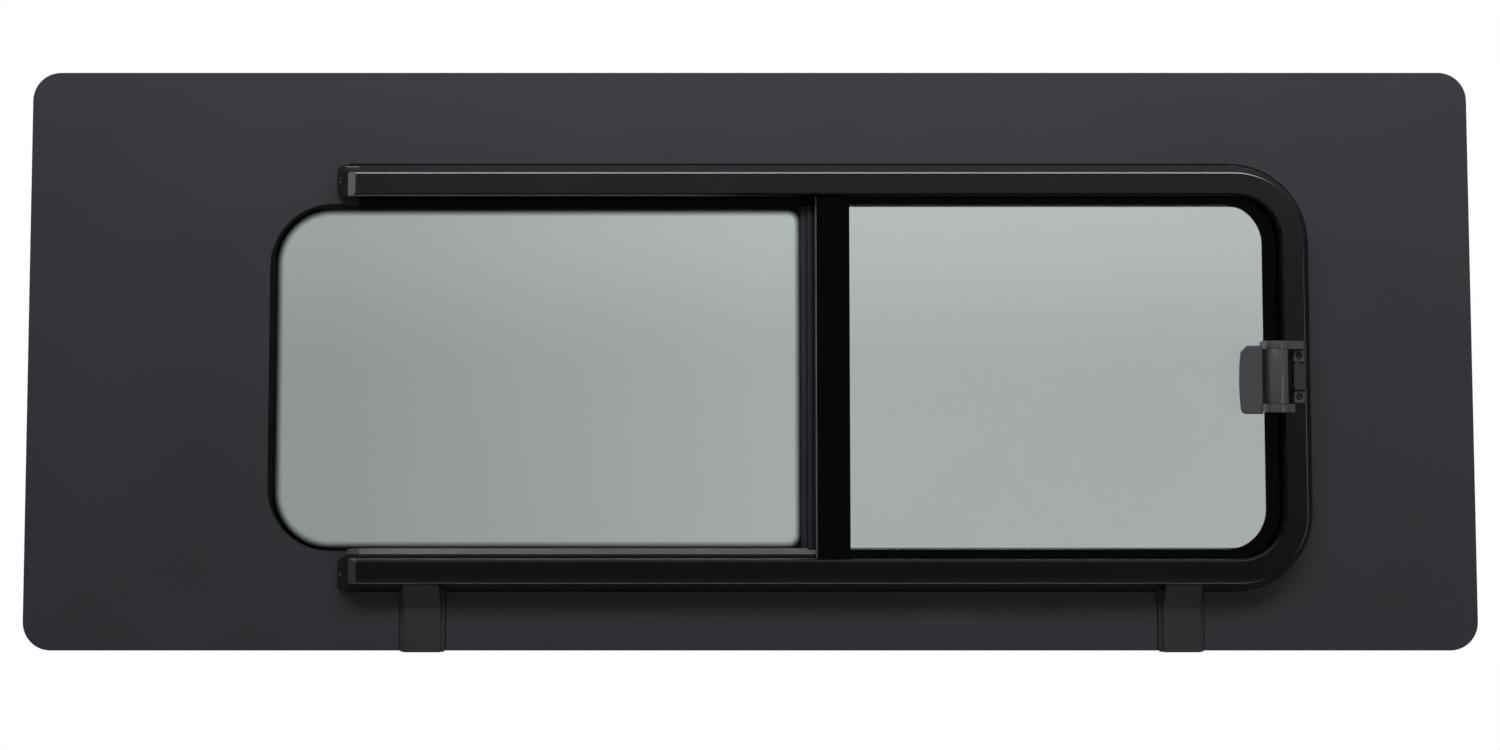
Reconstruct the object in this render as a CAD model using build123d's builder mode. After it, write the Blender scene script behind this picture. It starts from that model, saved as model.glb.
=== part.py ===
from build123d import *
import os

os.makedirs("parts", exist_ok=True)

# Millimetres. X runs along the van, Z is up and -Y points into the van.
# The origin is the middle of the sheet's lower edge, on the face that is bonded to the van.

# Outer sheet of glass
sheet_width = 1444.0
sheet_height = 577.0
sheet_corner = 28.0
sheet_thickness = 4.0
sheet_edge = 0.8
coat_thickness = 0.15

# Place of the rail on the sheet, from the sheet's edges to the rail's outer foot
rail_top_margin = 94.0
rail_bottom_margin = 59.5
rail_right_margin = 164.1
rail_left_margin = 330.0
rail_corner = 77.0
lower_rail_cut = 4.0

# Section of the rail, across it from its outer foot and up from the glass
tape_thickness = 2.0
tape_inset = 2.5
slope_across = 9.25
face_across = 32.75
rear_leg_across = 41.4
rear_leg_thickness = 3.0
leg_bevel = 5.5
leg_edge = 1.0
groove_floor_across = 16.0
groove_width = 11.0
rail_height = 24.0
rail_wall = 2.0
rail_round = 2.2
rail_inner_round = 3.5

# Soft channel in the rail's groove, and the pane that runs in it
run_gap = 0.3
channel_floor = 4.2
channel_depth = 14.5
channel_lead = 6.0
pane_width = 472.5
pane_thickness = 4.0
pane_left_corner = 3.0
pane_edge = 0.6

# End caps of the rail
cap_length = 22.0
cap_slope = 14.0
cap_bevel_drop = 4.0
cap_corner = 7.0
cap_facet = 1.4
cap_foot_length = 13.0
cap_foot_round = 5.0
cap_stop_length = 6.0
cap_plug_length = 12.0
cap_fit = 0.2
cap_lift = 0.2

# Opening in the sheet, and the outline of the fixed light
opening_past_leg = 0.3
opening_from_pane = 21.0
opening_left_corner = 6.0
light_left_margin = 241.0
light_corner = 63.0
light_tuck = 3.0
margin_gap = 2.0
spout_margin_gap = 1.0
coat_under_cap = 12.0

# Strip beside the opening that the pane's edge closes on
strip_from_pane = 14.0
strip_width = 33.0
strip_base = 3.0
strip_step_at = 6.5
strip_step_width = 17.0
strip_height = 5.5
strip_end_gap = 0.3
strip_groove_at = 9.6
strip_groove_width = 1.0
strip_groove_depth = 1.0
seal_at = 15.5
seal_width = 5.0
seal_groove = 1.5

# Drain spouts under the lower rail
left_spout_at = 397.0
right_spout_at = 295.0
spout_width = 44.5
spout_flange = 4.5
spout_flange_thickness = 1.2
spout_height = 4.0
spout_wall = 1.0
spout_past_edge = 1.2
spout_corner = 2.0
spout_ramp_from_rail = 16.5
spout_head_height = 18.0
spout_gap = 0.2
drain_slot_width = 24.0
drain_slot_low = 5.0
drain_slot_high = 8.5

# Latch on the pane, and its keeper on the rail
latch_middle = 271.3
latch_axis_from_rail = 41.9
latch_axis_height = 35.0
barrel_radius = 10.8
barrel_length = 53.0
pin_radius = 2.5
pin_fit = 0.08
pad_thickness = 1.0
base_width = 14.0
base_from_rail = 5.0
base_thickness = 2.5
base_corner = 2.5
lug_thickness = 7.9
lug_gap = 0.5
upper_lug_reach = 27.2
lower_lug_reach = 17.9
lug_over_rail = 5.0
lug_arm_height = 5.0
grip_from_axis = 15.4
grip_width = 20.8
grip_length = 66.8
grip_thickness = 4.5
grip_rise = 2.5
grip_bow = 1.7
grip_chamfer = 6.0
grip_corner = 5.0
grip_bevel = 1.5
grip_drop = 3.3
web_overlap = 2.5
web_thickness = 3.5
tongue_length = 25.0
tongue_reach = 29.0
tongue_thickness = 3.0
tongue_over_rail = 6.0
tongue_step_at = 17.6
tongue_step_wall = 1.8
tongue_step_drop = 2.6
tooth_width = 4.5
tooth_drop = 3.2
keeper_from_axis = 18.4
keeper_width = 10.4
keeper_base = 2.0
keeper_height = 6.0
keeper_ear = 12.0
keeper_ear_gap = 1.5
keeper_round = 0.6
keeper_pocket_radius = 3.4
keeper_pocket_depth = 3.0
ridge_width = 3.0
ridge_from_tooth = 1.3

# Places that follow from the sizes above
rail_right = sheet_width / 2 - rail_right_margin
rail_left = rail_left_margin - sheet_width / 2
rail_top = sheet_height - rail_top_margin
rail_bottom = rail_bottom_margin
rail_middle = (rail_top + rail_bottom) / 2
foot = tape_thickness
leg_front = foot + rear_leg_thickness
shelf_rear = leg_front + groove_width
pane_rear = leg_front + (groove_width - pane_thickness) / 2
pane_front = pane_rear + pane_thickness
pane_across = groove_floor_across + channel_floor + run_gap
pane_right = rail_right - pane_across
pane_left = pane_right - pane_width
pane_top = rail_top - pane_across
pane_bottom = rail_bottom + pane_across
opening_across = rear_leg_across + opening_past_leg
opening_left = pane_left + opening_from_pane
opening_right = rail_right - opening_across
opening_top = rail_top - opening_across
opening_bottom = rail_bottom + opening_across
light_left = light_left_margin - sheet_width / 2
cap_end = rail_left - cap_length
lower_rail_left = rail_left + lower_rail_cut
channel_left = rail_left + cap_stop_length
channel_join = rail_right - rail_corner - channel_lead
left_spout_x = left_spout_at - sheet_width / 2
right_spout_x = sheet_width / 2 - right_spout_at
axis_x = rail_right - latch_axis_from_rail
base_x = rail_right - face_across - base_from_rail - base_width / 2
slope_per_height = slope_across / (rail_height - foot)
slope_wall = rail_wall * (1 + slope_per_height**2) ** 0.5
pad_front = pane_front + pad_thickness
base_front = pad_front + base_thickness
lug_bottom = barrel_length / 2 + lug_gap
lug_top = lug_bottom + lug_thickness

# Planes: the bare glass inside the coat, across the rail at its upper left end, and across the latch
glass_plane = Plane.XZ.offset(-coat_thickness)
section_plane = Plane(origin=(rail_left, 0, rail_top), x_dir=(0, 0, -1), z_dir=(-1, 0, 0))
latch_plane = Plane(origin=(axis_x, 0, latch_middle), x_dir=(1, 0, 0), z_dir=(0, 0, 1))

# Outlines on the glass that more than one piece uses
with BuildSketch(Plane.XZ) as rail_footprint:
    footprint_left = cap_end + coat_under_cap
    footprint_right = rail_right + margin_gap
    with Locations(((footprint_left + footprint_right) / 2, rail_middle)):
        Rectangle(footprint_right - footprint_left, rail_top - rail_bottom + 2 * margin_gap)
    fillet(rail_footprint.vertices().group_by(Axis.X)[-1], rail_corner + margin_gap)

with BuildSketch(Plane.XZ) as light_outline:
    light_width = opening_left - light_left
    light_height = rail_top - rail_bottom - 2 * (rear_leg_across - light_tuck)
    with Locations(((light_left + opening_left) / 2, rail_middle)):
        RectangleRounded(light_width, light_height, light_corner)

with BuildSketch(Plane.XZ) as spout_footprints:
    with Locations((left_spout_x, rail_bottom / 2), (right_spout_x, rail_bottom / 2)):
        Rectangle(spout_width + 2 * spout_margin_gap, rail_bottom)

with BuildSketch(Plane.XZ) as opening:
    with Locations(((opening_left + opening_right) / 2, (opening_top + opening_bottom) / 2)):
        Rectangle(opening_right - opening_left, opening_top - opening_bottom)
    fillet(opening.vertices().group_by(Axis.X)[-1], rail_corner - opening_across)
    fillet(opening.vertices().group_by(Axis.X)[0], opening_left_corner)

# Outer sheet: its bonding margin has a matte coat, which stops short of the light and the rail
with BuildPart() as outer_glass:
    with BuildSketch(Plane.XZ):
        with Locations((0, sheet_height / 2)):
            RectangleRounded(sheet_width, sheet_height, sheet_corner)
        add(opening.sketch_local, mode=Mode.SUBTRACT)
    extrude(amount=-sheet_thickness)
    chamfer(outer_glass.faces().sort_by(Axis.Y)[-1].edges(), sheet_edge)
    with BuildSketch(Plane.XZ):
        add(rail_footprint.sketch_local)
        add(light_outline.sketch_local)
        add(spout_footprints.sketch_local)
    extrude(amount=-coat_thickness, mode=Mode.SUBTRACT)
outer_glass.part.label = "outer_glass"
export_step(outer_glass.part, "parts/outer_glass.step")

# Rail: one hollow section bent round the opening, with a groove for the pane and a long rear leg
# whose free edge is bevelled
with BuildPart() as rail_frame:
    with BuildLine(Plane.XZ):
        FilletPolyline(
            (rail_left, rail_top),
            (rail_right, rail_top),
            (rail_right, rail_bottom),
            (lower_rail_left, rail_bottom),
            radius=rail_corner,
        )
    with BuildSketch(section_plane) as section:
        with BuildLine():
            Polyline(
                (0, foot),
                (slope_across, rail_height),
                (face_across, rail_height),
                (face_across, shelf_rear),
                (groove_floor_across, shelf_rear),
                (groove_floor_across, leg_front),
                (rear_leg_across - leg_bevel, leg_front),
                (rear_leg_across, foot + leg_edge),
                (rear_leg_across, foot),
                close=True,
            )
        make_face()
        fillet(section.vertices().group_by(Axis.Y)[-1].sort_by(Axis.X)[-1], rail_inner_round)
        fillet(section.vertices().group_by(Axis.Y)[-1].sort_by(Axis.X)[0], rail_round)
        with BuildLine():
            Polyline(
                (slope_per_height * rail_wall + slope_wall, foot + rail_wall),
                (slope_across - slope_per_height * rail_wall + slope_wall, rail_height - rail_wall),
                (face_across - rail_wall, rail_height - rail_wall),
                (face_across - rail_wall, shelf_rear + rail_wall),
                (groove_floor_across - rail_wall, shelf_rear + rail_wall),
                (groove_floor_across - rail_wall, foot + rail_wall),
                close=True,
            )
        make_face(mode=Mode.SUBTRACT)
    sweep()
    with BuildSketch(Plane.XY.offset(rail_bottom)):
        slot_depth = drain_slot_high - drain_slot_low
        slot_y = -(drain_slot_high + drain_slot_low) / 2
        with Locations((left_spout_x, slot_y), (right_spout_x, slot_y)):
            Rectangle(drain_slot_width, slot_depth)
    extrude(amount=groove_floor_across - 2 * rail_wall, mode=Mode.SUBTRACT)
rail_frame.part.label = "rail_frame"
export_step(rail_frame.part, "parts/rail_frame.step")

# Bonding tape between the rail and the glass, laid in three lengths and set in from the rail's foot
tape_width = rear_leg_across - 2 * tape_inset
tape_length = channel_join - rail_left
with BuildPart() as upper_tape:
    with BuildSketch(glass_plane):
        with Locations((rail_left + tape_length / 2, rail_top - rear_leg_across / 2)):
            Rectangle(tape_length, tape_width)
    extrude(amount=tape_thickness + coat_thickness)
upper_tape.part.label = "upper_tape"
export_step(upper_tape.part, "parts/upper_tape.step")

with BuildPart() as lower_tape:
    with BuildSketch(glass_plane):
        with Locations(((lower_rail_left + channel_join) / 2, rail_bottom + rear_leg_across / 2)):
            Rectangle(tape_length - lower_rail_cut, tape_width)
    extrude(amount=tape_thickness + coat_thickness)
lower_tape.part.label = "lower_tape"
export_step(lower_tape.part, "parts/lower_tape.step")

end_section_plane = section_plane.offset(rail_left - channel_join)
with BuildPart() as end_tape:
    with BuildLine(Plane.XZ):
        FilletPolyline(
            (channel_join, rail_top),
            (rail_right, rail_top),
            (rail_right, rail_bottom),
            (channel_join, rail_bottom),
            radius=rail_corner,
        )
    with BuildSketch(end_section_plane):
        with Locations((rear_leg_across / 2, (tape_thickness - coat_thickness) / 2)):
            Rectangle(tape_width, tape_thickness + coat_thickness)
    sweep()
end_tape.part.label = "end_tape"
export_step(end_tape.part, "parts/end_tape.step")

# Run channels: soft U strips in the rail's groove that hold the pane's edge
with BuildSketch(section_plane) as channel_section:
    with Locations((groove_floor_across + channel_depth / 2, leg_front + groove_width / 2)):
        Rectangle(channel_depth, groove_width)
    with Locations((groove_floor_across + channel_floor + channel_depth / 2, (pane_rear + pane_front) / 2)):
        Rectangle(channel_depth, pane_thickness + 2 * run_gap, mode=Mode.SUBTRACT)

channel_length = channel_join - channel_left
with BuildPart() as upper_run_channel:
    with BuildSketch(section_plane.offset(rail_left - channel_left)):
        add(channel_section.sketch_local)
    extrude(amount=-channel_length)
upper_run_channel.part.label = "upper_run_channel"
export_step(upper_run_channel.part, "parts/upper_run_channel.step")

with BuildPart() as lower_run_channel:
    mirror(upper_run_channel.part, about=Plane.XY.offset(rail_middle))
    split(bisect_by=Plane.YZ.offset(channel_left + lower_rail_cut), keep=Keep.TOP)
lower_run_channel.part.label = "lower_run_channel"
export_step(lower_run_channel.part, "parts/lower_run_channel.step")

with BuildPart() as end_run_channel:
    with BuildLine(Plane.XZ):
        FilletPolyline(
            (channel_join, rail_top),
            (rail_right, rail_top),
            (rail_right, rail_bottom),
            (channel_join, rail_bottom),
            radius=rail_corner,
        )
    with BuildSketch(end_section_plane):
        add(channel_section.sketch_local)
    sweep()
end_run_channel.part.label = "end_run_channel"
export_step(end_run_channel.part, "parts/end_run_channel.step")

# End caps: a sloped nose over the rail's cut end, a stop for the pane and a plug into the hollow
with BuildPart() as upper_end_cap:
    with BuildSketch(section_plane) as nose:
        with BuildLine():
            Polyline(
                (0, foot),
                (slope_across, rail_height),
                (face_across, rail_height),
                (face_across, foot),
                close=True,
            )
        make_face()
        fillet(nose.vertices().group_by(Axis.Y)[-1].sort_by(Axis.X)[-1], rail_inner_round)
        fillet(nose.vertices().group_by(Axis.Y)[-1].sort_by(Axis.X)[0], rail_round)
    extrude(amount=cap_length)
    with BuildSketch(Plane.XY.offset(rail_top)):
        with BuildLine():
            Polyline(
                (cap_end, -foot),
                (cap_end + cap_slope, cap_bevel_drop - rail_height),
                (rail_left, -rail_height),
                (rail_left, -foot),
                close=True,
            )
        make_face()
    extrude(amount=-face_across, mode=Mode.INTERSECT)
    with BuildSketch(Plane.XZ.offset(foot)) as outline:
        with Locations((rail_left - cap_length / 2, rail_top - face_across / 2)):
            Rectangle(cap_length, face_across)
        fillet(outline.vertices().group_by(Axis.X)[0], cap_corner)
    extrude(amount=rail_height, mode=Mode.INTERSECT)
    slope_normal = Vector(0, -slope_across, rail_height - foot).normalized()
    nose_normal = Vector(cap_bevel_drop + foot - rail_height, -cap_slope, 0).normalized()
    mitre_plane = Plane(origin=(cap_end, -foot, rail_top), z_dir=slope_normal + nose_normal)
    split(bisect_by=mitre_plane.offset(-cap_facet), keep=Keep.BOTTOM)
    split(bisect_by=Plane.XZ.offset(foot + cap_lift), keep=Keep.TOP)
    with BuildSketch(Plane.XZ.offset(foot + cap_lift)) as toe:
        with Locations((rail_left - cap_foot_length / 2, rail_top - rear_leg_across / 2)):
            Rectangle(cap_foot_length, rear_leg_across)
        fillet(toe.vertices().group_by(Axis.X)[0].sort_by(Axis.Y)[0], cap_foot_round)
    extrude(amount=rear_leg_thickness - cap_lift)
    with BuildSketch(section_plane):
        with BuildLine():
            Polyline(
                (rear_leg_across - leg_bevel, leg_front),
                (rear_leg_across, foot + leg_edge),
                (rear_leg_across, leg_front),
                close=True,
            )
        make_face()
    extrude(amount=cap_foot_length, mode=Mode.SUBTRACT)
    stop_width = groove_width - 2 * cap_fit
    stop_across = channel_depth - cap_fit
    with BuildSketch(section_plane):
        with Locations((groove_floor_across + cap_fit + stop_across / 2, leg_front + groove_width / 2)):
            Rectangle(stop_across, stop_width)
    extrude(amount=-(cap_stop_length - cap_fit))
    plug_across = face_across - groove_floor_across - 2 * cap_fit
    plug_height = rail_height - shelf_rear - 2 * rail_wall - 2 * cap_fit
    with BuildSketch(section_plane):
        with Locations((groove_floor_across - rail_wall + cap_fit + plug_across / 2, (shelf_rear + rail_height) / 2)):
            Rectangle(plug_across, plug_height)
    extrude(amount=-cap_plug_length)
upper_end_cap.part.label = "upper_end_cap"
export_step(upper_end_cap.part, "parts/upper_end_cap.step")

with BuildPart() as lower_end_cap:
    with Locations((lower_rail_cut, 0, 0)):
        add(upper_end_cap.part.mirror(Plane.XY.offset(rail_middle)))
lower_end_cap.part.label = "lower_end_cap"
export_step(lower_end_cap.part, "parts/lower_end_cap.step")

# Mullion strip: a stepped strip bonded to the sheet beside the opening
strip_left = pane_left - strip_from_pane
strip_bottom = rail_bottom + rear_leg_across + strip_end_gap
strip_length = rail_top - rail_bottom - 2 * (rear_leg_across + strip_end_gap)
with BuildPart() as mullion_strip:
    with BuildSketch(Plane.XY.offset(strip_bottom)):
        with BuildLine():
            Polyline(
                (strip_left, coat_thickness),
                (strip_left, -strip_base),
                (strip_left + strip_step_at, -strip_base),
                (strip_left + strip_step_at, -strip_height),
                (strip_left + strip_step_at + strip_step_width, -strip_height),
                (strip_left + strip_step_at + strip_step_width, -strip_base),
                (strip_left + strip_width, -strip_base),
                (strip_left + strip_width, coat_thickness),
                close=True,
            )
        make_face()
        with Locations((strip_left + seal_at + seal_width / 2, -strip_height + seal_groove / 2)):
            Rectangle(seal_width, seal_groove, mode=Mode.SUBTRACT)
        groove_x = strip_left + strip_groove_at + strip_groove_width / 2
        with Locations((groove_x, -strip_height + strip_groove_depth / 2)):
            Rectangle(strip_groove_width, strip_groove_depth, mode=Mode.SUBTRACT)
    extrude(amount=strip_length)
mullion_strip.part.label = "mullion_strip"
export_step(mullion_strip.part, "parts/mullion_strip.step")

# Mullion seal: a soft pile strip in the mullion's groove that wipes the pane
with BuildPart() as mullion_seal:
    with BuildSketch(Plane.XY.offset(strip_bottom)):
        seal_height = pane_rear - run_gap - strip_height + seal_groove
        with Locations((strip_left + seal_at + seal_width / 2, -strip_height + seal_groove - seal_height / 2)):
            Rectangle(seal_width, seal_height)
    extrude(amount=strip_length)
mullion_seal.part.label = "mullion_seal"
export_step(mullion_seal.part, "parts/mullion_seal.step")

# Drain spouts: open-backed ducts from the lower rail to the sheet's lower edge
head_across = slope_across * (spout_head_height - foot) / (rail_height - foot)
with BuildPart() as left_drain_spout:
    with BuildSketch(Plane.YZ.offset(left_spout_x)):
        with BuildLine():
            Polyline(
                (coat_thickness, -spout_past_edge),
                (-spout_height, -spout_past_edge),
                (-spout_height, rail_bottom - spout_ramp_from_rail),
                (-spout_head_height, rail_bottom + head_across - spout_gap),
                (-foot, rail_bottom - spout_gap),
                (coat_thickness, rail_bottom - spout_gap),
                close=True,
            )
        make_face()
    extrude(amount=spout_width / 2 - spout_flange, both=True)
    with BuildSketch(glass_plane) as flange:
        with Locations((left_spout_x, (rail_bottom - spout_gap - spout_past_edge) / 2)):
            Rectangle(spout_width, rail_bottom - spout_gap + spout_past_edge)
        fillet(flange.vertices().group_by(Axis.Y)[0], spout_corner)
    extrude(amount=spout_flange_thickness + coat_thickness)
    with BuildSketch(Plane.YZ.offset(left_spout_x)):
        with BuildLine():
            Polyline(
                (coat_thickness, -spout_past_edge),
                (spout_wall - spout_height, -spout_past_edge),
                (spout_wall - spout_height, rail_bottom - spout_ramp_from_rail),
                (spout_wall - spout_head_height, rail_bottom + head_across),
                (coat_thickness, rail_bottom),
                close=True,
            )
        make_face()
    extrude(amount=spout_width / 2 - spout_flange - spout_wall, both=True, mode=Mode.SUBTRACT)
left_drain_spout.part.label = "left_drain_spout"
export_step(left_drain_spout.part, "parts/left_drain_spout.step")

with BuildPart() as right_drain_spout:
    with Locations((right_spout_x - left_spout_x, 0, 0)):
        add(left_drain_spout.part)
right_drain_spout.part.label = "right_drain_spout"
export_step(right_drain_spout.part, "parts/right_drain_spout.step")

# Sliding pane
with BuildPart() as sliding_pane:
    with BuildSketch(Plane.XZ.offset(pane_rear)) as pane_outline:
        with Locations(((pane_left + pane_right) / 2, rail_middle)):
            Rectangle(pane_width, pane_top - pane_bottom)
        fillet(pane_outline.vertices().group_by(Axis.X)[-1], rail_corner - pane_across)
        fillet(pane_outline.vertices().group_by(Axis.X)[0], pane_left_corner)
    extrude(amount=pane_thickness)
    chamfer(sliding_pane.faces().filter_by(Axis.Y).edges(), pane_edge)
sliding_pane.part.label = "sliding_pane"
export_step(sliding_pane.part, "parts/sliding_pane.step")

# Latch pad: adhesive pad under the latch's base
with BuildPart() as latch_pad:
    with BuildSketch(Plane.XZ.offset(pane_front)):
        with Locations((base_x, latch_middle)):
            RectangleRounded(base_width, 2 * lug_top, base_corner)
    extrude(amount=pad_thickness)
latch_pad.part.label = "latch_pad"
export_step(latch_pad.part, "parts/latch_pad.step")

# Latch base: a plate with two lugs that carry the pin and reach over the rail
arm_height = rail_height + lug_over_rail + lug_arm_height / 2
with BuildPart() as latch_base:
    with BuildSketch(Plane.XZ.offset(pad_front)):
        with Locations((base_x, latch_middle)):
            RectangleRounded(base_width, 2 * lug_top, base_corner)
    extrude(amount=base_thickness)
    with BuildSketch(latch_plane.offset(lug_bottom)):
        with Locations((base_x - axis_x, -(base_front + latch_axis_height) / 2)):
            Rectangle(base_width, latch_axis_height - base_front)
        with Locations((0, -latch_axis_height)):
            Circle(barrel_radius)
        with Locations((upper_lug_reach / 2, -arm_height)):
            Rectangle(upper_lug_reach, lug_arm_height)
    extrude(amount=lug_thickness)
    with BuildSketch(latch_plane.offset(-lug_bottom)):
        with Locations((base_x - axis_x, -(base_front + latch_axis_height) / 2)):
            Rectangle(base_width, latch_axis_height - base_front)
        with Locations((0, -latch_axis_height)):
            Circle(barrel_radius)
        with Locations((lower_lug_reach / 2, -arm_height)):
            Rectangle(lower_lug_reach, lug_arm_height)
    extrude(amount=-lug_thickness)
    with BuildSketch(latch_plane.offset(-lug_top)):
        with Locations((0, -latch_axis_height)):
            Circle(pin_radius)
    extrude(amount=2 * lug_top, mode=Mode.SUBTRACT)
latch_base.part.label = "latch_base"
export_step(latch_base.part, "parts/latch_base.step")

# Latch pin: pressed into the lugs
with BuildPart() as latch_pin:
    with BuildSketch(latch_plane.offset(-lug_top)):
        with Locations((0, -latch_axis_height)):
            Circle(pin_radius)
    extrude(amount=2 * lug_top)
latch_pin.part.label = "latch_pin"
export_step(latch_pin.part, "parts/latch_pin.step")

# Latch lever: a bowed grip plate, a barrel on the pin and a stepped tongue with a tooth
grip_right = axis_x - grip_from_axis
grip_left = grip_right - grip_width
grip_top = latch_middle + grip_length / 2 - grip_drop
grip_bottom = grip_top - grip_length
tongue_rear = rail_height + tongue_over_rail
tongue_front = tongue_rear + tongue_thickness
with BuildPart() as latch_lever:
    with BuildSketch(Plane.XZ.offset(latch_axis_height + grip_rise)) as grip:
        with BuildLine():
            Line((grip_left + grip_chamfer, grip_top), (grip_right, grip_top))
            Line((grip_right, grip_top), (grip_right, grip_bottom))
            Line((grip_right, grip_bottom), (grip_left, grip_bottom))
            ThreePointArc(
                (grip_left, grip_bottom),
                (grip_left - grip_bow, (grip_top + grip_bottom) / 2),
                (grip_left, grip_top - grip_chamfer),
            )
            Line((grip_left, grip_top - grip_chamfer), (grip_left + grip_chamfer, grip_top))
        make_face()
        fillet(grip.vertices().sort_by(Axis.Y)[:2].sort_by(Axis.X)[0], grip_corner)
    extrude(amount=grip_thickness)
    chamfer(latch_lever.faces().sort_by(Axis.Y)[0].edges(), grip_bevel)
    with BuildSketch(latch_plane.offset(-barrel_length / 2)):
        with Locations((0, -latch_axis_height)):
            Circle(barrel_radius)
        web_length = grip_from_axis + web_overlap
        with Locations((-web_length / 2, -latch_axis_height - web_thickness / 2)):
            Rectangle(web_length, web_thickness)
    extrude(amount=barrel_length)
    with BuildSketch(latch_plane.offset(-tongue_length / 2)):
        with BuildLine():
            Polyline(
                (0, tongue_step_drop - tongue_rear),
                (tongue_step_at + tongue_step_wall, tongue_step_drop - tongue_rear),
                (tongue_step_at + tongue_step_wall, -tongue_rear),
                (tongue_reach - tooth_width, -tongue_rear),
                (tongue_reach - tooth_width, tooth_drop - tongue_rear),
                (tongue_reach, tooth_drop - tongue_rear),
                (tongue_reach, -tongue_front),
                (tongue_step_at, -tongue_front),
                (tongue_step_at, tongue_step_drop - tongue_front),
                (0, tongue_step_drop - tongue_front),
                close=True,
            )
        make_face()
    extrude(amount=tongue_length)
    with BuildSketch(latch_plane.offset(-barrel_length / 2)):
        with Locations((0, -latch_axis_height)):
            Circle(pin_radius + pin_fit)
    extrude(amount=barrel_length, mode=Mode.SUBTRACT)
latch_lever.part.label = "latch_lever"
export_step(latch_lever.part, "parts/latch_lever.step")

# Latch keeper: a plate screwed to the rail's face, with a ridge for the tongue's tooth
keeper_length = tongue_length + 2 * keeper_ear_gap + 2 * keeper_ear
keeper_x = axis_x + keeper_from_axis + keeper_width / 2
ear_offset = tongue_length / 2 + keeper_ear_gap + keeper_ear / 2
ridge_x = axis_x + tongue_reach - tooth_width - ridge_from_tooth - ridge_width / 2
ridge_top = tongue_rear - run_gap
with BuildPart() as latch_keeper:
    with BuildSketch(Plane.XZ.offset(rail_height)):
        with Locations((keeper_x, latch_middle + ear_offset), (keeper_x, latch_middle - ear_offset)):
            Rectangle(keeper_width, keeper_ear)
    extrude(amount=keeper_height)
    chamfer(latch_keeper.faces().group_by(Axis.Y)[0].edges(), keeper_round)
    with BuildSketch(Plane.XZ.offset(rail_height)):
        with Locations((keeper_x, latch_middle)):
            Rectangle(keeper_width, keeper_length)
    extrude(amount=keeper_base)
    with BuildSketch(Plane.XZ.offset(rail_height)):
        with Locations((ridge_x, latch_middle)):
            Rectangle(ridge_width, tongue_length + 2 * keeper_ear_gap)
    extrude(amount=ridge_top - rail_height)
    with BuildSketch(Plane.XZ.offset(rail_height + keeper_height)):
        with Locations((keeper_x, latch_middle + ear_offset), (keeper_x, latch_middle - ear_offset)):
            Circle(keeper_pocket_radius)
    extrude(amount=-keeper_pocket_depth, mode=Mode.SUBTRACT)
latch_keeper.part.label = "latch_keeper"
export_step(latch_keeper.part, "parts/latch_keeper.step")
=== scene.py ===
import bmesh
import bpy
import math
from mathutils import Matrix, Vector
from mathutils.geometry import delaunay_2d_cdt


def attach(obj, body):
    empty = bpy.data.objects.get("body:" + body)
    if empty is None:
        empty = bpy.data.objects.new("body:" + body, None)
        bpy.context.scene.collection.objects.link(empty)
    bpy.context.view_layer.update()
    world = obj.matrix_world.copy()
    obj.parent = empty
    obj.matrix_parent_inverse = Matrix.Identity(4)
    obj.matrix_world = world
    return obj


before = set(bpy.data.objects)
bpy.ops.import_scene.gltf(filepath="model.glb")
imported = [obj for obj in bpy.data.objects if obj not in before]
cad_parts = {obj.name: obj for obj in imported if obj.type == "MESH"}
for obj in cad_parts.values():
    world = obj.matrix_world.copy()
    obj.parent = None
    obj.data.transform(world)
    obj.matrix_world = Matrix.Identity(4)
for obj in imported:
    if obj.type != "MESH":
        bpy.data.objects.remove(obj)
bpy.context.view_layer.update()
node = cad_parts


# The outer sheet is 4 mm toughened safety glass with ground edges, tinted grey-green.
# It is cut, ground and printed flat, then the opening for the pane is cut before it is toughened.
def stretch(tree, source, start, end, low=0.0, high=1.0):
    ruler = tree.nodes.new("ShaderNodeMapRange")
    for socket, value in (("From Min", start), ("From Max", end), ("To Min", low), ("To Max", high)):
        ruler.inputs[socket].default_value = value
    tree.links.new(source, ruler.inputs["Value"])
    return ruler.outputs["Result"]


def two_shades(tree, source, dark, light):
    shades = tree.nodes.new("ShaderNodeValToRGB")
    for end, position, colour in ((0, 0.3, dark), (1, 0.7, light)):
        shades.color_ramp.elements[end].position = position
        shades.color_ramp.elements[end].color = (*colour, 1.0)
    tree.links.new(source, shades.inputs["Fac"])
    return shades.outputs["Color"]


def cloudy(tree, where, size, detail):
    clouds = tree.nodes.new("ShaderNodeTexNoise")
    clouds.inputs["Scale"].default_value = 1.0 / size
    clouds.inputs["Detail"].default_value = detail
    tree.links.new(where.outputs["Object"], clouds.inputs["Vector"])
    return clouds.outputs["Fac"]


def tinted_glass(name, tint, deeper_tint, patch_size):
    glass = bpy.data.materials.new(name)
    glass.use_nodes = True
    tree = glass.node_tree
    shader = tree.nodes["Principled BSDF"]
    shader.inputs["Transmission Weight"].default_value = 1.0
    shader.inputs["IOR"].default_value = 1.5
    streaks = cloudy(tree, tree.nodes.new("ShaderNodeTexCoord"), patch_size, 3.0)
    tree.links.new(two_shades(tree, streaks, deeper_tint, tint), shader.inputs["Base Color"])
    tree.links.new(stretch(tree, streaks, 0.0, 1.0, 0.0, 0.03), shader.inputs["Roughness"])
    return glass


def dress(piece, finish):
    piece.data.materials.clear()
    piece.data.materials.append(finish)
    return piece


sheet_glass = tinted_glass("sheet_glass", (0.470, 0.508, 0.510), (0.457, 0.495, 0.497), 0.25)
dress(node["outer_glass"], sheet_glass)


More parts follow.
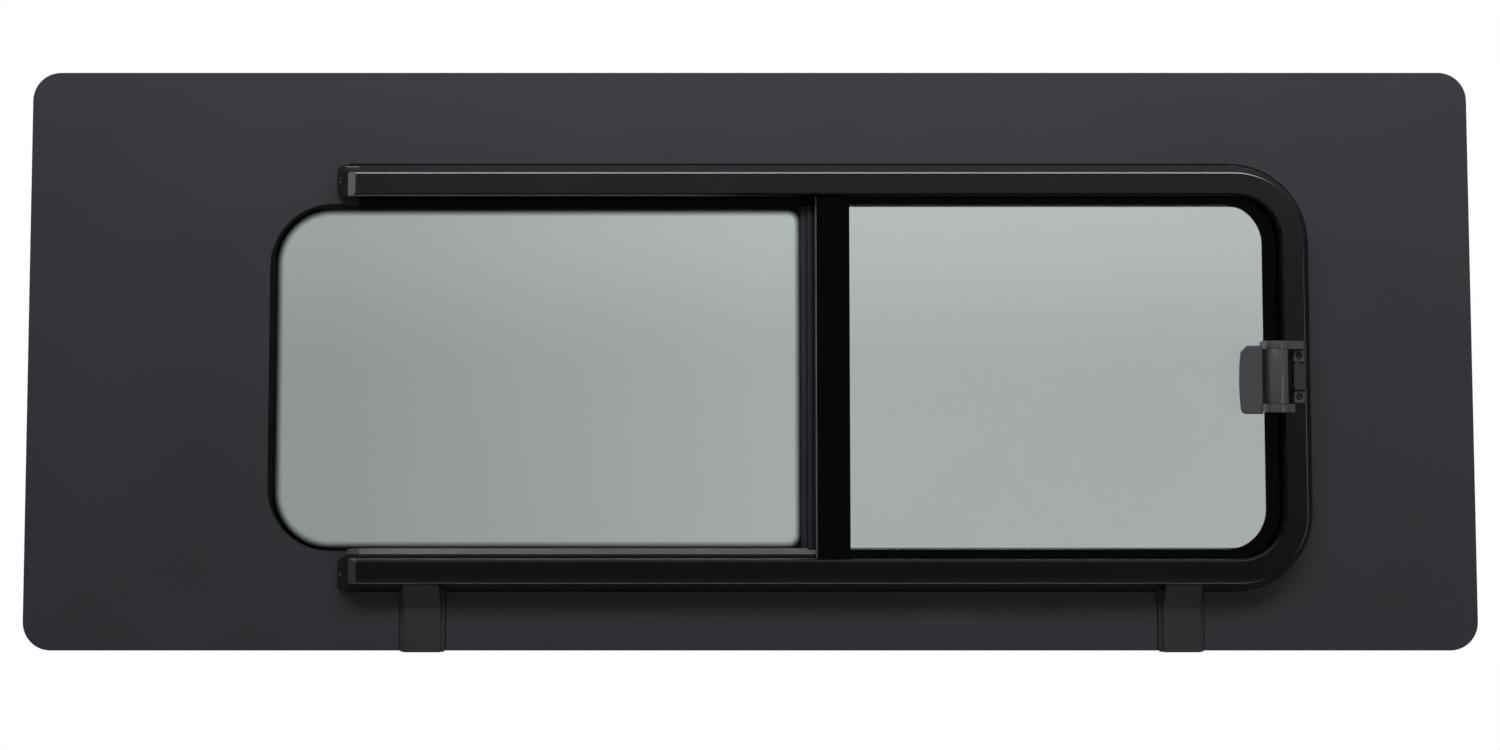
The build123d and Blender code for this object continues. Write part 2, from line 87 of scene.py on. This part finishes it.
# The bonding margin is a satin grey-black ceramic coat, silk-screened on the inner face and fired.
# The van's glue line sticks to it, so it runs out to the edge and stops short of the rail and the light.
sheet_left, sheet_right = -0.722, 0.722
sheet_foot, sheet_head = 0.0, 0.577
sheet_corner = 0.028
coat_inset = 0.0002
coat_lift = 0.00005
arc_steps = 20


def rounded(left, right, bottom, top, radii):
    corners = [
        (right, top, -1, -1, radii[0], 0),
        (left, top, 1, -1, radii[1], 90),
        (left, bottom, 1, 1, radii[2], 180),
        (right, bottom, -1, 1, radii[3], 270),
    ]
    points = []
    for x, z, inward_x, inward_z, radius, start in corners:
        if radius == 0:
            points.append((x, z))
            continue
        middle_x = x + inward_x * radius
        middle_z = z + inward_z * radius
        for step in range(arc_steps + 1):
            turn = math.radians(start + 90 * step / arc_steps)
            points.append((middle_x + radius * math.cos(turn), middle_z + radius * math.sin(turn)))
    return points


def set_down(name, form):
    mesh = bpy.data.meshes.new(name)
    form.to_mesh(mesh)
    form.free()
    piece = bpy.data.objects.new(name, mesh)
    bpy.context.scene.collection.objects.link(piece)
    return piece


def thicken(ink, thickness):
    grown = bmesh.ops.extrude_face_region(ink, geom=ink.faces[:])
    raised = [g for g in grown["geom"] if isinstance(g, bmesh.types.BMVert)]
    bmesh.ops.translate(ink, vec=(0, -thickness, 0), verts=raised)
    bmesh.ops.recalc_face_normals(ink, faces=ink.faces[:])


def screen_print(name, wanted, left_bare, height, thickness):
    points, faces = [], []
    for shape in wanted + left_bare:
        faces.append(list(range(len(points), len(points) + len(shape))))
        points.extend(Vector(p) for p in shape)
    spots, _, cells, _, _, inside = delaunay_2d_cdt(points, [], faces, 1, 1e-6, True)
    ink = bmesh.new()
    ring = [ink.verts.new((p.x, -height, p.y)) for p in spots]
    for cell, owners in zip(cells, inside):
        if owners and all(o < len(wanted) for o in owners):
            ink.faces.new([ring[i] for i in cell])
    loose = [v for v in ink.verts if not v.link_faces]
    bmesh.ops.delete(ink, geom=loose, context="VERTS")
    thicken(ink, thickness)
    return set_down(name, ink)


def grained(name, dark, light, grain, rough, bump):
    finish = bpy.data.materials.new(name)
    finish.use_nodes = True
    tree = finish.node_tree
    shader = tree.nodes["Principled BSDF"]
    where = tree.nodes.new("ShaderNodeTexCoord")
    fine = cloudy(tree, where, grain, 4.0)
    broad = cloudy(tree, where, 0.12, 2.0)
    both = tree.nodes.new("ShaderNodeMix")
    both.data_type = "FLOAT"
    both.inputs[0].default_value = 0.55
    tree.links.new(fine, both.inputs[2])
    tree.links.new(broad, both.inputs[3])
    pits = tree.nodes.new("ShaderNodeBump")
    pits.inputs["Distance"].default_value = bump
    pits.inputs["Strength"].default_value = 0.6
    tree.links.new(fine, pits.inputs["Height"])
    tree.links.new(two_shades(tree, both.outputs[0], dark, light), shader.inputs["Base Color"])
    tree.links.new(stretch(tree, both.outputs[0], 0.3, 0.7, *rough), shader.inputs["Roughness"])
    tree.links.new(pits.outputs["Normal"], shader.inputs["Normal"])
    return finish


sheet_outline = rounded(
    sheet_left + coat_inset,
    sheet_right - coat_inset,
    sheet_foot + coat_inset,
    sheet_head - coat_inset,
    [sheet_corner] * 4,
)
rail_field = rounded(-0.402, 0.5599, 0.0575, 0.485, [0.079, 0, 0, 0.079])
light_field = rounded(-0.481, 0.0859, 0.0979, 0.4446, [0.063] * 4)
spout_middles = (-0.325, 0.427)
spout_half = 0.02325
spout_fields = [rounded(x - spout_half, x + spout_half, 0.0003, 0.0595, [0] * 4) for x in spout_middles]
margin_coat = screen_print(
    "margin_coat", [sheet_outline], [rail_field, light_field, *spout_fields], 0.0, coat_lift
)
satin_coat = grained(
    "satin_coat", (0.037, 0.0372, 0.0455), (0.0448, 0.0452, 0.055), 0.0006, (0.58, 0.68), 0.00002
)
dress(margin_coat, satin_coat)
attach(margin_coat, "frame")


# The band inside the coat is the glossy black print that frames the fixed light and runs under the rail.
# It is the first firing, bare enamel, and fades into the clear glass through rows of ever smaller dots.
light_left, light_right = -0.4742, 0.0511
light_foot, light_head = 0.1007, 0.4388
light_corners = [0.014, 0.056, 0.056, 0.014]
field_height = -0.00015
opening_hole = rounded(0.0859, 0.5162, 0.1012, 0.4413, [0.0353, 0.006, 0.006, 0.0353])
light_clear = rounded(light_left, light_right, light_foot, light_head, light_corners)
band_print = screen_print(
    "band_print", [rail_field, light_field, *spout_fields], [light_clear, opening_hole], field_height, coat_lift
)
black_enamel = grained(
    "black_enamel", (0.004, 0.0042, 0.005), (0.0065, 0.0068, 0.008), 0.0008, (0.25, 0.33), 0.000004
)
dress(band_print, black_enamel)
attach(band_print, "frame")


def depth_inside(x, z, left, right, bottom, top, radii):
    depth = min(x - left, right - x, z - bottom, top - z)
    corners = [
        (x > right - radii[0] and z > top - radii[0], right - radii[0], top - radii[0], radii[0]),
        (x < left + radii[1] and z > top - radii[1], left + radii[1], top - radii[1], radii[1]),
        (x < left + radii[2] and z < bottom + radii[2], left + radii[2], bottom + radii[2], radii[2]),
        (x > right - radii[3] and z < bottom + radii[3], right - radii[3], bottom + radii[3], radii[3]),
    ]
    for near, middle_x, middle_z, radius in corners:
        if near:
            depth = radius - math.hypot(x - middle_x, z - middle_z)
    return depth


def ink_dots(name, dots, sides, height, thickness):
    ink = bmesh.new()
    for x, z, radius in dots:
        rim = []
        for turn in range(sides):
            angle = math.tau * (turn + 0.5) / sides
            rim.append(ink.verts.new((x + radius * math.cos(angle), -height, z + radius * math.sin(angle))))
        ink.faces.new(rim)
    thicken(ink, thickness)
    return set_down(name, ink)


dot_sides = 8
dot_pitch = 0.0026
dot_fade = 0.0069
dot_apart = dot_pitch / math.sqrt(2)
touching_cover = 0.785
fade_dots = []
for row in range(round((light_head - light_foot) / dot_pitch * 2) + 1):
    for place in range(round((light_right - light_left) / dot_pitch) + 1):
        dot_x = light_left + (place + 0.5 * (row % 2)) * dot_pitch
        dot_z = light_foot + row * dot_pitch / 2
        depth = depth_inside(dot_x, dot_z, light_left, light_right, light_foot, light_head, light_corners)
        if -dot_apart < depth < 0.98 * dot_fade:
            cover = 1.0 - (max(0.0, depth) / dot_fade) ** 1.5
            merging = max(0.0, cover - touching_cover) / (1.0 - touching_cover)
            dot_size = 1.05 * math.sqrt(cover / math.pi) + 0.14 * merging**2
            fade_dots.append((dot_x, dot_z, dot_apart * dot_size))
light_dots = ink_dots("light_dots", fade_dots, dot_sides, field_height, coat_lift)
dress(light_dots, black_enamel)
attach(light_dots, "frame")


# The tapes are black acrylic foam, sticky on both sides, and hold the rail to the glass.
# They are laid in three lengths just inside the rail's foot.
foam_tape = grained("foam_tape", (0.010, 0.010, 0.010), (0.020, 0.020, 0.020), 0.0009, (0.8, 0.95), 0.00008)
for tape in ("upper_tape", "end_tape", "lower_tape"):
    dress(node[tape], foam_tape)


# The rail is an extruded aluminium section, bent to the opening's shape and powder coated satin black.
# Its groove holds the run channels, and its long rear leg sits on the tape.
rail_coat = grained(
    "rail_coat", (0.0045, 0.0045, 0.0051), (0.0062, 0.0062, 0.0070), 0.0007, (0.19, 0.24), 0.0000006
)
rail_tree = rail_coat.node_tree
rail_shader = rail_tree.nodes["Principled BSDF"]
rail_shader.inputs["IOR"].default_value = 2.2


def combine(tree, operation, first, second):
    step = tree.nodes.new("ShaderNodeMath")
    step.operation = operation
    tree.links.new(first, step.inputs[0])
    tree.links.new(second, step.inputs[1])
    return step.outputs["Value"]


def places(tree):
    axes = tree.nodes.new("ShaderNodeSeparateXYZ")
    tree.links.new(tree.nodes["Texture Coordinate"].outputs["Object"], axes.inputs["Vector"])
    return axes.outputs["X"], axes.outputs["Y"], axes.outputs["Z"]


rail_x, rail_y, rail_z = places(rail_tree)

# The specular level is a painted sheen set by place: full on the lower slope, low on the lower face, and rising
# with height.
rail_sheen = rail_tree.nodes.new("ShaderNodeValToRGB")
sheen_steps = rail_sheen.color_ramp.elements
sheen_steps[0].position = 0.045
sheen_steps[0].color = (1.0, 1.0, 1.0, 1.0)
sheen_steps[1].position = 1.0
sheen_steps[1].color = (0.72, 0.72, 0.72, 1.0)
for position in (0.055, 0.13):
    sheen_steps.new(position).color = (0.25, 0.25, 0.25, 1.0)
rail_tree.links.new(stretch(rail_tree, rail_z, 0.05, 0.45), rail_sheen.inputs["Fac"])

# Painted sheen: the lower rear leg and the upper slope are the glossiest.
low_half = stretch(rail_tree, rail_z, 0.3, 0.25)
low_leg = combine(rail_tree, "MULTIPLY", stretch(rail_tree, rail_y, -0.0065, -0.0052), low_half)
bright_parts = combine(rail_tree, "MAXIMUM", low_leg, stretch(rail_tree, rail_z, 0.4724, 0.4734))

# The painted sheen is dulled on the edges behind the face's plane below the upper bend. The upper length is
# dulled on its
# inner edge only: deep down all along, and near the face to the right of the middle.
behind_face = stretch(rail_tree, rail_y, -0.02392, -0.02375)
above_slope = stretch(rail_tree, rail_z, 0.074, 0.078)
below_bends = stretch(rail_tree, rail_z, 0.455, 0.43)
upper_inner = stretch(rail_tree, rail_z, 0.4545, 0.4535)
before_bend = stretch(rail_tree, rail_x, 0.526, 0.5215)
past_middle = stretch(rail_tree, rail_x, -0.085, -0.005)
deep_down = stretch(rail_tree, rail_y, -0.0205, -0.019)
dull_reach = combine(rail_tree, "MAXIMUM", past_middle, deep_down)
dull_length = combine(rail_tree, "MULTIPLY", before_bend, dull_reach)
dull_upper = combine(rail_tree, "MULTIPLY", upper_inner, dull_length)
dull_height = combine(rail_tree, "MAXIMUM", below_bends, dull_upper)
dull_behind = combine(rail_tree, "MULTIPLY", behind_face, dull_height)
dull_inner = combine(rail_tree, "MULTIPLY", dull_behind, above_slope)
dull_sheen = stretch(rail_tree, dull_inner, 0.0, 1.0, 1.0)
rail_tree.links.new(stretch(rail_tree, rail_z, 0.1, 0.16, 0.17, 0.03), dull_sheen.node.inputs["To Max"])
face_sheen = combine(rail_tree, "MULTIPLY", dull_sheen, rail_sheen.outputs["Color"])
rail_gloss = combine(rail_tree, "MAXIMUM", bright_parts, face_sheen)
rail_tree.links.new(rail_gloss, rail_shader.inputs["Specular IOR Level"])
dress(node["rail_frame"], rail_coat)


# The run channels are soft black rubber strips with a flocked lining, pushed into the rail's groove.
# The pane's edge slides in them, and the end piece goes round both bends in one length.
flocked_rubber = grained(
    "flocked_rubber", (0.003, 0.003, 0.003), (0.008, 0.008, 0.008), 0.0004, (0.85, 1.0), 0.00012
)
for channel in ("upper_run_channel", "end_run_channel", "lower_run_channel"):
    dress(node[channel], flocked_rubber)


# The end caps are injection-moulded black nylon noses, plugged into the rail's cut ends.
# Each has a sloped face, a bevel up to the rail's face and a stop that keeps the pane in its groove.
cap_nylon = grained(
    "cap_nylon", (0.006, 0.006, 0.0068), (0.009, 0.009, 0.0102), 0.0005, (0.2, 0.27), 0.000004
)
cap_shader = cap_nylon.node_tree.nodes["Principled BSDF"]
cap_shader.inputs["IOR"].default_value = 1.9
cap_shader.inputs["Coat Weight"].default_value = 0.4


def ease_edges(piece, width):
    weld = piece.modifiers.new("weld", "WELD")
    weld.merge_threshold = 0.00001
    bevel = piece.modifiers.new("bevel", "BEVEL")
    bevel.width = width
    bevel.segments = 2
    bevel.limit_method = "ANGLE"
    bevel.angle_limit = math.radians(35)
    bevel.harden_normals = True
    return piece


for cap in ("upper_end_cap", "lower_end_cap"):
    dress(ease_edges(node[cap], 0.0006), cap_nylon)
# Two tiny light-grey domes on each cap's sloped face are painted glints: bright spots where light catches the
# nose.
pip_radius = 0.00055
pip_painted_glint = grained("pip_painted_glint", (0.42, 0.42, 0.44), (0.6, 0.6, 0.62), 0.0002, (0.15, 0.25), 0.000002)
glint_pip_places = {
    "upper_cap_glint_pips": [(-0.4094, 0.0079, 0.4688), (-0.4106, 0.0064, 0.4656)],
    "lower_cap_glint_pips": [(-0.4059, 0.0073, 0.0767), (-0.4076, 0.0051, 0.0745)],
}
for pips_name, pip_pair in glint_pip_places.items():
    domes = bmesh.new()
    for pip_x, pip_height, pip_z in pip_pair:
        dome = bmesh.ops.create_icosphere(domes, subdivisions=2, radius=pip_radius)["verts"]
        bmesh.ops.translate(domes, vec=(pip_x, -pip_height, pip_z), verts=dome)
    pips = set_down(pips_name, domes)
    dress(pips, pip_painted_glint)
    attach(pips, "frame")


# The mullion strip is a stepped black plastic extrusion, bonded to the glass beside the opening.
# A brush pile stands in its groove and wipes the back of the pane.
strip_plastic = grained(
    "strip_plastic", (0.023, 0.028, 0.037), (0.030, 0.036, 0.046), 0.0005, (0.35, 0.45), 0.00001
)
dress(node["mullion_strip"], strip_plastic)
# Two thin black strips on the mullion strip are painted shadow: one at the foot of its step, one along its edge
# beside the pane.
shadow_line_foot, shadow_line_head = 0.1013, 0.4412
shadow_lines = {"strip_step_shadow": (0.0562, 0.0574, 0.003), "strip_edge_shadow": (0.0618, 0.0646, 0.0055)}
strip_painted_shadow = grained(
    "strip_painted_shadow", (0.004, 0.004, 0.0045), (0.009, 0.009, 0.010), 0.0004, (0.85, 1.0), 0.00003
)
for line_name, (line_left, line_right, line_height) in shadow_lines.items():
    line_outline = rounded(line_left, line_right, shadow_line_foot, shadow_line_head, [0] * 4)
    line = screen_print(line_name, [line_outline], [], line_height, coat_lift)
    dress(line, strip_painted_shadow)
    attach(line, "frame")
brush_pile = grained(
    "brush_pile", (0.008, 0.008, 0.009), (0.030, 0.030, 0.032), 0.00025, (0.9, 1.0), 0.0003
)
dress(node["mullion_seal"], brush_pile)


# The two drain spouts are thin vacuum-formed black plastic ducts, taped to the glass by their flanges.
# They lead water from the rail's drain slots down to the sheet's lower edge.
spout_plastic = grained(
    "spout_plastic", (0.037, 0.037, 0.0425), (0.046, 0.046, 0.053), 0.0006, (0.42, 0.52), 0.000015
)
for spout in ("left_drain_spout", "right_drain_spout"):
    dress(node[spout], spout_plastic)


# The sliding pane is 4 mm toughened glass in a lighter tint, with ground edges all round.
# A wide black enamel border is printed on its inner face, widest at the left, where the strip closes it.
pane_glass = tinted_glass("pane_glass", (0.486, 0.525, 0.512), (0.472, 0.511, 0.498), 0.3)
dress(node["sliding_pane"], pane_glass)
pane_face = 0.0125
pane_left, pane_right, pane_foot, pane_head = 0.0649, 0.5374, 0.080, 0.4625
pane_corners = [0.0565, 0.003, 0.003, 0.0565]
pane_bevel = 0.0006
pane_edge = 0.0012
clear_left, clear_right, clear_foot, clear_head = 0.0990, 0.5097, 0.1006, 0.4428
clear_corner = 0.040
pane_outline = rounded(
    pane_left + pane_edge, pane_right - pane_edge, pane_foot + pane_edge, pane_head - pane_edge, pane_corners
)
pane_clear = rounded(clear_left, clear_right, clear_foot, clear_head, [clear_corner, 0, 0, clear_corner])
pane_print = screen_print("pane_print", [pane_outline], [pane_clear], pane_face, coat_lift)
pane_enamel = grained(
    "pane_enamel", (0.0008, 0.0008, 0.0009), (0.0014, 0.0014, 0.0016), 0.0008, (0.1, 0.16), 0.000003
)
dress(pane_print, pane_enamel)
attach(pane_print, "sash")


def ground_rim(name, left, right, bottom, top, radii, face, edge, band):
    proud = 0.00003
    section = [
        (0.0, face - edge),
        (edge, face + proud),
        (band, face + proud),
        (band, face - 2 * proud),
        (edge + proud, face - 2 * proud),
        (2 * proud, face - edge - proud),
    ]
    rim = bmesh.new()
    rings = []
    for inset, height in section:
        path = rounded(left + inset, right - inset, bottom + inset, top - inset, [r - inset for r in radii])
        rings.append([rim.verts.new((x, -height, z)) for x, z in path])
    count = len(rings[0])
    for outer, inner in zip(rings, rings[1:] + rings[:1]):
        for i in range(count):
            j = (i + 1) % count
            rim.faces.new([outer[i], outer[j], inner[j], inner[i]])
    bmesh.ops.recalc_face_normals(rim, faces=rim.faces[:])
    return set_down(name, rim)


pane_rim = ground_rim(
    "pane_ground_edge",
    pane_left, pane_right, pane_foot, pane_head, pane_corners,
    pane_face, pane_bevel, pane_edge,
)
ground_glass = grained(
    "ground_glass", (0.09, 0.1, 0.098), (0.16, 0.175, 0.17), 0.0003, (0.5, 0.65), 0.00002
)
dress(pane_rim, ground_glass)
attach(pane_rim, "sash")

teeth_start, teeth_pitch, teeth_count, tooth_radius = 0.352, 0.0019, 66, 0.0006
edge_teeth = [(teeth_start + teeth_pitch * i, clear_foot, tooth_radius) for i in range(teeth_count)]
pane_teeth = ink_dots("pane_edge_dots", edge_teeth, dot_sides, pane_face, coat_lift)
dress(pane_teeth, pane_enamel)
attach(pane_teeth, "sash")


# The latch is moulded in black glass-filled nylon: a base stuck to the pane with a foam pad,
# a steel pin through its two lugs, and a sprung lever with a grip plate and a hooked tongue.
# The nylon's grey is lighter than black: painted sheen, standing in for the light its flat faces reflect.
latch_nylon = grained(
    "latch_nylon", (0.086, 0.0865, 0.0955), (0.101, 0.1015, 0.112), 0.0006, (0.2, 0.26), 0.00001
)
dress(ease_edges(node["latch_base"], 0.0005), latch_nylon)

# Painted shade: the lever's colour is darker deep under its barrel and on the web between the barrel and the
# grip.
lever_nylon = latch_nylon.copy()
lever_nylon.name = "lever_nylon"
lever_tree = lever_nylon.node_tree
lever_x, lever_y, _ = places(lever_tree)
sunk_painted_shade = stretch(lever_tree, lever_y, -0.0345, -0.0315, 1.0, 0.08)
web_painted_shade = lever_tree.nodes.new("ShaderNodeValToRGB")
web_steps = web_painted_shade.color_ramp.elements
for end, position in ((0, 0.1), (1, 0.95)):
    web_steps[end].position = position
    web_steps[end].color = (1.0, 1.0, 1.0, 1.0)
for position in (0.4, 0.62):
    web_steps.new(position).color = (0.15, 0.15, 0.15, 1.0)
lever_tree.links.new(stretch(lever_tree, lever_x, 0.498, 0.508), web_painted_shade.inputs["Fac"])
lever_shade = lever_tree.nodes.new("ShaderNodeMix")
lever_shade.data_type = "RGBA"
lever_shade.blend_type = "MULTIPLY"
lever_shade.inputs[0].default_value = 1.0
lever_tree.links.new(lever_tree.nodes["Color Ramp"].outputs["Color"], lever_shade.inputs[6])
lever_painted_shade = combine(lever_tree, "MULTIPLY", sunk_painted_shade, web_painted_shade.outputs["Color"])
lever_tree.links.new(lever_painted_shade, lever_shade.inputs[7])
lever_tree.links.new(lever_shade.outputs[2], lever_tree.nodes["Principled BSDF"].inputs["Base Color"])
dress(ease_edges(node["latch_lever"], 0.0005), lever_nylon)

dress(node["latch_pad"], foam_tape)
dark_steel = grained("dark_steel", (0.05, 0.05, 0.052), (0.08, 0.08, 0.084), 0.0003, (0.25, 0.4), 0.000005)
dark_steel.node_tree.nodes["Principled BSDF"].inputs["Metallic"].default_value = 1.0
dress(node["latch_pin"], dark_steel)


# The keeper is a moulded nylon plate on the rail's face, with a ridge that the tongue hooks behind.
# Two small black cross-head screws with low domed heads hold it to the rail.
dress(ease_edges(node["latch_keeper"], 0.0004), latch_nylon)
keeper_x, keeper_seat = 0.5396, 0.027
screw_radius, screw_rise = 0.0031, 0.0019
slot_width, slot_reach, slot_sink = 0.0007, 0.0034, 0.0011


def cross_screw(name, x, seat, z, radius, rise, slot, reach, sink):
    head = bmesh.new()
    sides = 32
    hoop_count = 6

    def hoop(out, up):
        turns = [math.tau * s / sides for s in range(sides)]
        return [head.verts.new((x + out * math.cos(t), -up, z + out * math.sin(t))) for t in turns]

    hoops = []
    for step in range(hoop_count):
        tilt = math.radians(90 * step / hoop_count)
        hoops.append(hoop(radius * math.cos(tilt), seat + 0.3 * rise + 0.7 * rise * math.sin(tilt)))
    foot = hoop(radius, seat)
    for low, high in zip([foot, *hoops], hoops):
        for s in range(sides):
            t = (s + 1) % sides
            head.faces.new([low[s], low[t], high[t], high[s]])
    head.faces.new(foot[::-1])
    head.faces.new(hoops[-1])
    bmesh.ops.recalc_face_normals(head, faces=head.faces[:])
    screw = set_down(name, head)
    cutter = bmesh.new()
    for wide, tall in ((reach, slot), (slot, reach)):
        bar = bmesh.ops.create_cube(cutter, size=1.0)["verts"]
        bmesh.ops.scale(cutter, vec=(wide, 2 * sink, tall), verts=bar)
        bmesh.ops.translate(cutter, vec=(x, -(seat + rise), z), verts=bar)
    slots = set_down(name + "_slots", cutter)
    cut = screw.modifiers.new("slots", "BOOLEAN")
    cut.operation = "DIFFERENCE"
    cut.solver = "EXACT"
    cut.use_self = True
    cut.object = slots
    cut_mesh = bpy.data.meshes.new_from_object(screw.evaluated_get(bpy.context.evaluated_depsgraph_get()))
    screw.modifiers.clear()
    screw.data = cut_mesh
    bpy.data.objects.remove(slots)
    return screw


black_screw = grained("black_screw", (0.075, 0.075, 0.08), (0.11, 0.11, 0.116), 0.0003, (0.25, 0.35), 0.000005)
black_screw.node_tree.nodes["Principled BSDF"].inputs["Metallic"].default_value = 0.6
for screw_name, screw_z in (("upper_keeper_screw", 0.2913), ("lower_keeper_screw", 0.2513)):
    keeper_screw = cross_screw(
        screw_name, keeper_x, keeper_seat, screw_z, screw_radius, screw_rise, slot_width, slot_reach, slot_sink
    )
    dress(keeper_screw, black_screw)
    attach(keeper_screw, "frame")


# The studio has a pale floor well below the window and a white surround behind it.
# One wide soft box hangs overhead, three small ones fill from the sides, and one lights the rear.
floor_height = -0.9
floor_left, floor_right, floor_front, floor_rear = -4, 4, -4, 3.2
floor_corners = [
    (floor_left, floor_front, floor_height),
    (floor_right, floor_front, floor_height),
    (floor_right, floor_rear, floor_height),
    (floor_left, floor_rear, floor_height),
]
floor_mesh = bpy.data.meshes.new("studio_floor")
floor_mesh.from_pydata(floor_corners, [], [(0, 1, 2, 3)])
studio_floor = bpy.data.objects.new("studio_floor", floor_mesh)
bpy.context.scene.collection.objects.link(studio_floor)
pale_floor = bpy.data.materials.new("pale_floor")
pale_floor.use_nodes = True
floor_tree = pale_floor.node_tree
floor_shader = floor_tree.nodes["Principled BSDF"]
floor_shader.inputs["Base Color"].default_value = (0.8, 0.8, 0.8, 1.0)
floor_shader.inputs["Roughness"].default_value = 0.9
floor_shader.inputs["Emission Color"].default_value = (1.0, 1.0, 1.0, 1.0)
floor_where = floor_tree.nodes.new("ShaderNodeTexCoord")
floor_reach = floor_tree.nodes.new("ShaderNodeVectorMath")
floor_reach.operation = "LENGTH"
floor_tree.links.new(floor_where.outputs["Object"], floor_reach.inputs[0])
floor_fade = stretch(floor_tree, floor_reach.outputs["Value"], 1.0, 3.0, 0.42, 1.0)
floor_ray = floor_tree.nodes.new("ShaderNodeLightPath").outputs
floor_seen = combine(floor_tree, "MAXIMUM", floor_ray["Is Camera Ray"], floor_ray["Is Transmission Ray"])
floor_glow = combine(floor_tree, "MULTIPLY", floor_seen, floor_fade)
floor_tree.links.new(floor_glow, floor_shader.inputs["Emission Strength"])
dress(studio_floor, pale_floor)
studio_floor.visible_glossy = False

surround = bpy.data.worlds.new("white_surround")
bpy.context.scene.world = surround
surround.use_nodes = True
sky = surround.node_tree
sky.nodes.clear()
room = sky.nodes.new("ShaderNodeBackground")
room.inputs["Color"].default_value = (0.96, 0.97, 1.0, 1.0)
room.inputs["Strength"].default_value = 0.05
white = sky.nodes.new("ShaderNodeBackground")
white.inputs["Color"].default_value = (1.0, 1.0, 1.0, 1.0)
white.inputs["Strength"].default_value = 1.0
# Seen through the glass, the white surround carries painted shade: darker towards the bottom and towards the
# left, graded by the ray's direction.
through = sky.nodes.new("ShaderNodeBackground")
through.inputs["Color"].default_value = (1.0, 1.0, 1.0, 1.0)
facing = sky.nodes.new("ShaderNodeTexCoord")
axes = sky.nodes.new("ShaderNodeSeparateXYZ")
sky.links.new(facing.outputs["Generated"], axes.inputs["Vector"])
upper = stretch(sky, axes.outputs["Z"], 0.0, 0.09, 0.82, 1.0)
upper.node.interpolation_type = "SMOOTHSTEP"
along = stretch(sky, axes.outputs["X"], -0.19, 0.03, 0.76, 1.0)
sky.links.new(combine(sky, "MULTIPLY", upper, along), through.inputs["Strength"])
seen = sky.nodes.new("ShaderNodeLightPath").outputs
behind = stretch(sky, axes.outputs["Y"], 0.0, 0.25)
mirrored = combine(sky, "MULTIPLY", seen["Is Glossy Ray"], behind)
either = combine(sky, "MAXIMUM", seen["Is Camera Ray"], mirrored)


def choose(amount, first, second):
    pick = sky.nodes.new("ShaderNodeMixShader")
    sky.links.new(amount, pick.inputs["Fac"])
    sky.links.new(first, pick.inputs[1])
    sky.links.new(second, pick.inputs[2])
    return pick.outputs["Shader"]


open_view = choose(either, room.outputs["Background"], white.outputs["Background"])
any_view = choose(seen["Is Transmission Ray"], open_view, through.outputs["Background"])
out = sky.nodes.new("ShaderNodeOutputWorld")
sky.links.new(any_view, out.inputs["Surface"])


def soft_box(name, place, aim, width, depth, power):
    lamp = bpy.data.lights.new(name, "AREA")
    lamp.shape = "RECTANGLE"
    lamp.size = width
    lamp.size_y = depth
    lamp.energy = power
    holder = bpy.data.objects.new(name, lamp)
    holder.location = place
    holder.rotation_euler = (Vector(aim) - Vector(place)).to_track_quat("-Z", "Y").to_euler()
    bpy.context.scene.collection.objects.link(holder)


soft_box("overhead_box", (0.1, -1.25, 1.75), (0.0, 0.0, 0.32), 2.8, 0.6, 31.0)
soft_box("cap_box", (-2.1, -0.85, 0.8), (-0.41, 0.0, 0.46), 0.3, 0.8, 0.9)
soft_box("left_box", (-2.4, -1.6, -0.2), (0.0, 0.0, 0.1), 0.8, 1.2, 2.0)
soft_box("right_box", (2.4, -1.6, -0.2), (0.0, 0.0, 0.1), 0.8, 1.2, 5.0)
soft_box("rear_box", (0.3, 1.8, 1.6), (0.0, 0.0, 0.3), 2.4, 1.0, 40.0)


# The camera stands in front of the window's middle, a little left, and looks slightly upwards.
# Its lens is shifted sideways and down, which brings the whole sheet to the middle of the picture.
camera_tilt = 3.26
eye = bpy.data.cameras.new("eye")
eye.lens = 45.6
eye.sensor_width = 36.0
eye.shift_x = 0.0307
eye.shift_y = -0.071
camera = bpy.data.objects.new("camera", eye)
camera.location = (-0.046, -1.902, 0.271)
camera.rotation_euler = (math.radians(90 + camera_tilt), 0, 0)
bpy.context.scene.collection.objects.link(camera)
bpy.context.scene.camera = camera
bpy.context.scene.view_settings.view_transform = "Standard"
